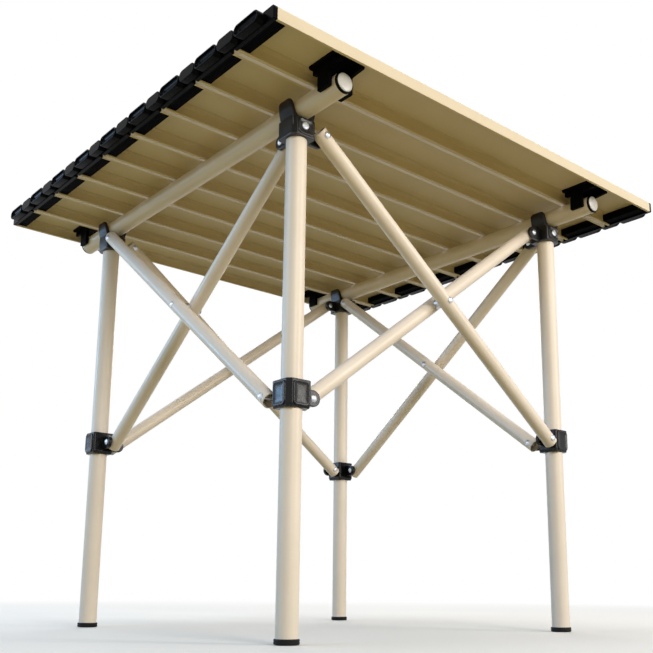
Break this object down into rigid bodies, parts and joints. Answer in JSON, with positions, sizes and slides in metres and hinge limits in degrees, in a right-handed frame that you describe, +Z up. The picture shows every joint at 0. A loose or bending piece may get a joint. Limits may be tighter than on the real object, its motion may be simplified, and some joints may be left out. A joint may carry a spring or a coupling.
{
  "type": "roll-top camp table",
  "caption": "Square roll-top camp table: hinged metal slats clipped to rails on a folding frame of legs and crossed arms.",
  "frame": {"origin": "on the ground under the middle of the table", "axes": "+X along the slats to the right, +Y along the rails to the back, +Z up"},
  "size_m": [0.735, 0.706, 0.64],
  "materials": {
    "painted_slat": "satin beige paint",
    "painted_tube": "satin beige paint",
    "black_plastic": "satin moulded",
    "zinc_steel": "zinc plated"
  },
  "bodies": {
    "front_left_leg": {"front_left_leg": "painted_tube", "front_left_leg_fittings": "black_plastic"},
    "front_right_leg": {"front_right_leg": "painted_tube", "front_right_leg_fittings": "black_plastic"},
    "back_right_leg": {"back_right_leg": "painted_tube", "back_right_leg_fittings": "black_plastic"},
    "back_left_leg": {"back_left_leg": "painted_tube", "back_left_leg_fittings": "black_plastic"},
    "front_outer_arm": {"front_outer_arm": "painted_tube", "front_outer_arm_rivets": "zinc_steel"},
    "front_inner_arm": {"front_inner_arm": "painted_tube", "front_inner_arm_rivets": "zinc_steel"},
    "right_outer_arm": {"right_outer_arm": "painted_tube", "right_outer_arm_rivets": "zinc_steel"},
    "right_inner_arm": {"right_inner_arm": "painted_tube", "right_inner_arm_rivets": "zinc_steel"},
    "back_outer_arm": {"back_outer_arm": "painted_tube", "back_outer_arm_rivets": "zinc_steel"},
    "back_inner_arm": {"back_inner_arm": "painted_tube", "back_inner_arm_rivets": "zinc_steel"},
    "left_outer_arm": {"left_outer_arm": "painted_tube", "left_outer_arm_rivets": "zinc_steel"},
    "left_inner_arm": {"left_inner_arm": "painted_tube", "left_inner_arm_rivets": "zinc_steel"},
    "front_left_slider": {"front_left_slider": "black_plastic"},
    "front_right_slider": {"front_right_slider": "black_plastic"},
    "back_right_slider": {"back_right_slider": "black_plastic"},
    "back_left_slider": {"back_left_slider": "black_plastic"},
    "left_rail": {"left_rail": "painted_tube", "left_rail_plugs": "black_plastic"},
    "right_rail": {"right_rail": "painted_tube", "right_rail_plugs": "black_plastic"},
    "slat_1": {"slat_1": "painted_slat", "slat_1_end_caps": "black_plastic", "front_top_clips": "black_plastic"},
    "slat_2": {"slat_2": "painted_slat", "slat_2_end_caps": "black_plastic"},
    "slat_3": {"slat_3": "painted_slat", "slat_3_end_caps": "black_plastic"},
    "slat_4": {"slat_4": "painted_slat", "slat_4_end_caps": "black_plastic"},
    "slat_5": {"slat_5": "painted_slat", "slat_5_end_caps": "black_plastic"},
    "slat_6": {"slat_6": "painted_slat", "slat_6_end_caps": "black_plastic"},
    "slat_7": {"slat_7": "painted_slat", "slat_7_end_caps": "black_plastic"},
    "slat_8": {"slat_8": "painted_slat", "slat_8_end_caps": "black_plastic"},
    "slat_9": {"slat_9": "painted_slat", "slat_9_end_caps": "black_plastic", "back_top_clips": "black_plastic"},
    "hinge_links_1": {"hinge_links_1": "black_plastic"},
    "hinge_links_2": {"hinge_links_2": "black_plastic"},
    "hinge_links_3": {"hinge_links_3": "black_plastic"},
    "hinge_links_4": {"hinge_links_4": "black_plastic"},
    "hinge_links_5": {"hinge_links_5": "black_plastic"},
    "hinge_links_6": {"hinge_links_6": "black_plastic"},
    "hinge_links_7": {"hinge_links_7": "black_plastic"},
    "hinge_links_8": {"hinge_links_8": "black_plastic"}
  },
  "joints": [
    {"name": "frame_fold", "type": "hinge", "parent": "front_left_leg", "child": "front_outer_arm", "pos_m": [-0.21008, -0.24, 0.585], "axis": [0, 1, 0], "range_deg": [0, 46]},
    {"name": "front_crossing", "type": "hinge", "parent": "front_outer_arm", "child": "front_inner_arm", "pos_m": [0, -0.24, 0.4265], "axis": [0, -1, 0], "range_deg": [0, 92]},
    {"name": "front_right_slider_pivot", "type": "hinge", "parent": "front_outer_arm", "child": "front_right_slider", "pos_m": [0.21008, -0.24, 0.268], "axis": [0, -1, 0], "range_deg": [0, 46]},
    {"name": "front_right_leg_pivot", "type": "hinge", "parent": "front_inner_arm", "child": "front_right_leg", "pos_m": [0.21008, -0.24, 0.585], "axis": [0, 1, 0], "range_deg": [0, 46]},
    {"name": "front_left_slider_pivot", "type": "hinge", "parent": "front_inner_arm", "child": "front_left_slider", "pos_m": [-0.21008, -0.24, 0.268], "axis": [0, 1, 0], "range_deg": [0, 46]},
    {"name": "left_arm_pivot", "type": "hinge", "parent": "front_left_leg", "child": "left_inner_arm", "pos_m": [-0.24, -0.21008, 0.585], "axis": [-1, 0, 0], "range_deg": [0, 46]},
    {"name": "left_crossing", "type": "hinge", "parent": "left_inner_arm", "child": "left_outer_arm", "pos_m": [-0.24, 0, 0.4265], "axis": [1, 0, 0], "range_deg": [0, 92]},
    {"name": "back_left_slider_pivot", "type": "hinge", "parent": "left_inner_arm", "child": "back_left_slider", "pos_m": [-0.24, 0.21008, 0.268], "axis": [1, 0, 0], "range_deg": [0, 46]},
    {"name": "back_left_leg_pivot", "type": "hinge", "parent": "left_outer_arm", "child": "back_left_leg", "pos_m": [-0.24, 0.21008, 0.585], "axis": [-1, 0, 0], "range_deg": [0, 46]},
    {"name": "right_arm_pivot", "type": "hinge", "parent": "front_right_leg", "child": "right_outer_arm", "pos_m": [0.24, -0.21008, 0.585], "axis": [-1, 0, 0], "range_deg": [0, 46]},
    {"name": "right_crossing", "type": "hinge", "parent": "right_outer_arm", "child": "right_inner_arm", "pos_m": [0.24, 0, 0.4265], "axis": [1, 0, 0], "range_deg": [0, 92]},
    {"name": "back_right_slider_pivot", "type": "hinge", "parent": "right_outer_arm", "child": "back_right_slider", "pos_m": [0.24, 0.21008, 0.268], "axis": [1, 0, 0], "range_deg": [0, 46]},
    {"name": "back_right_leg_pivot", "type": "hinge", "parent": "right_inner_arm", "child": "back_right_leg", "pos_m": [0.24, 0.21008, 0.585], "axis": [-1, 0, 0], "range_deg": [0, 46]},
    {"name": "back_arm_pivot", "type": "hinge", "parent": "back_left_leg", "child": "back_inner_arm", "pos_m": [-0.21008, 0.24, 0.585], "axis": [0, 1, 0], "range_deg": [0, 46]},
    {"name": "back_crossing", "type": "hinge", "parent": "back_inner_arm", "child": "back_outer_arm", "pos_m": [0, 0.24, 0.4265], "axis": [0, -1, 0], "range_deg": [0, 92]},
    {"name": "left_rail_lift", "type": "slide", "parent": "front_left_leg", "child": "left_rail", "axis": [0, 0, 1], "range_m": [0, 0.803]},
    {"name": "right_rail_lift", "type": "slide", "parent": "front_left_leg", "child": "right_rail", "axis": [0, 0, 1], "range_m": [0, 0.803]},
    {"name": "top_lift", "type": "slide", "parent": "left_rail", "child": "slat_5", "axis": [0, 0, 1], "range_m": [0, 0.1]},
    {"name": "slat_5_back_roll", "type": "hinge", "parent": "slat_5", "child": "hinge_links_5", "pos_m": [0, 0.03, 0.632], "axis": [1, 0, 0], "range_deg": [0, 18.5]},
    {"name": "slat_6_front_roll", "type": "hinge", "parent": "hinge_links_5", "child": "slat_6", "pos_m": [0, 0.049, 0.632], "axis": [1, 0, 0], "range_deg": [0, 18.5]},
    {"name": "slat_6_back_roll", "type": "hinge", "parent": "slat_6", "child": "hinge_links_6", "pos_m": [0, 0.109, 0.632], "axis": [1, 0, 0], "range_deg": [0, 18.5]},
    {"name": "slat_7_front_roll", "type": "hinge", "parent": "hinge_links_6", "child": "slat_7", "pos_m": [0, 0.128, 0.632], "axis": [1, 0, 0], "range_deg": [0, 18.5]},
    {"name": "slat_7_back_roll", "type": "hinge", "parent": "slat_7", "child": "hinge_links_7", "pos_m": [0, 0.188, 0.632], "axis": [1, 0, 0], "range_deg": [0, 18.5]},
    {"name": "slat_8_front_roll", "type": "hinge", "parent": "hinge_links_7", "child": "slat_8", "pos_m": [0, 0.207, 0.632], "axis": [1, 0, 0], "range_deg": [0, 18.5]},
    {"name": "slat_8_back_roll", "type": "hinge", "parent": "slat_8", "child": "hinge_links_8", "pos_m": [0, 0.267, 0.632], "axis": [1, 0, 0], "range_deg": [0, 18.5]},
    {"name": "slat_9_front_roll", "type": "hinge", "parent": "hinge_links_8", "child": "slat_9", "pos_m": [0, 0.286, 0.632], "axis": [1, 0, 0], "range_deg": [0, 18.5]},
    {"name": "slat_5_front_roll", "type": "hinge", "parent": "slat_5", "child": "hinge_links_4", "pos_m": [0, -0.03, 0.632], "axis": [-1, 0, 0], "range_deg": [0, 18.5]},
    {"name": "slat_4_back_roll", "type": "hinge", "parent": "hinge_links_4", "child": "slat_4", "pos_m": [0, -0.049, 0.632], "axis": [-1, 0, 0], "range_deg": [0, 18.5]},
    {"name": "slat_4_front_roll", "type": "hinge", "parent": "slat_4", "child": "hinge_links_3", "pos_m": [0, -0.109, 0.632], "axis": [-1, 0, 0], "range_deg": [0, 18.5]},
    {"name": "slat_3_back_roll", "type": "hinge", "parent": "hinge_links_3", "child": "slat_3", "pos_m": [0, -0.128, 0.632], "axis": [-1, 0, 0], "range_deg": [0, 18.5]},
    {"name": "slat_3_front_roll", "type": "hinge", "parent": "slat_3", "child": "hinge_links_2", "pos_m": [0, -0.188, 0.632], "axis": [-1, 0, 0], "range_deg": [0, 18.5]},
    {"name": "slat_2_back_roll", "type": "hinge", "parent": "hinge_links_2", "child": "slat_2", "pos_m": [0, -0.207, 0.632], "axis": [-1, 0, 0], "range_deg": [0, 18.5]},
    {"name": "slat_2_front_roll", "type": "hinge", "parent": "slat_2", "child": "hinge_links_1", "pos_m": [0, -0.267, 0.632], "axis": [-1, 0, 0], "range_deg": [0, 18.5]},
    {"name": "slat_1_back_roll", "type": "hinge", "parent": "hinge_links_1", "child": "slat_1", "pos_m": [0, -0.286, 0.632], "axis": [-1, 0, 0], "range_deg": [0, 18.5]}
  ],
  "couplings": [
    {"joint": "front_crossing", "follows": "frame_fold", "ratio": 2},
    {"joint": "front_right_slider_pivot", "follows": "frame_fold", "ratio": 1},
    {"joint": "front_right_leg_pivot", "follows": "frame_fold", "ratio": 1},
    {"joint": "front_left_slider_pivot", "follows": "frame_fold", "ratio": 1},
    {"joint": "left_arm_pivot", "follows": "frame_fold", "ratio": 1},
    {"joint": "left_crossing", "follows": "frame_fold", "ratio": 2},
    {"joint": "back_left_slider_pivot", "follows": "frame_fold", "ratio": 1},
    {"joint": "back_left_leg_pivot", "follows": "frame_fold", "ratio": 1},
    {"joint": "right_arm_pivot", "follows": "frame_fold", "ratio": 1},
    {"joint": "right_crossing", "follows": "frame_fold", "ratio": 2},
    {"joint": "back_right_slider_pivot", "follows": "frame_fold", "ratio": 1},
    {"joint": "back_right_leg_pivot", "follows": "frame_fold", "ratio": 1},
    {"joint": "back_arm_pivot", "follows": "frame_fold", "ratio": 1},
    {"joint": "back_crossing", "follows": "frame_fold", "ratio": 2},
    {"joint": "left_rail_lift", "follows": "frame_fold", "m_per_rad": 1},
    {"joint": "right_rail_lift", "follows": "frame_fold", "m_per_rad": 1},
    {"joint": "slat_6_front_roll", "follows": "slat_5_back_roll", "ratio": 1},
    {"joint": "slat_7_front_roll", "follows": "slat_6_back_roll", "ratio": 1},
    {"joint": "slat_8_front_roll", "follows": "slat_7_back_roll", "ratio": 1},
    {"joint": "slat_9_front_roll", "follows": "slat_8_back_roll", "ratio": 1},
    {"joint": "slat_4_back_roll", "follows": "slat_5_front_roll", "ratio": 1},
    {"joint": "slat_3_back_roll", "follows": "slat_4_front_roll", "ratio": 1},
    {"joint": "slat_2_back_roll", "follows": "slat_3_front_roll", "ratio": 1},
    {"joint": "slat_1_back_roll", "follows": "slat_2_front_roll", "ratio": 1}
  ]
}
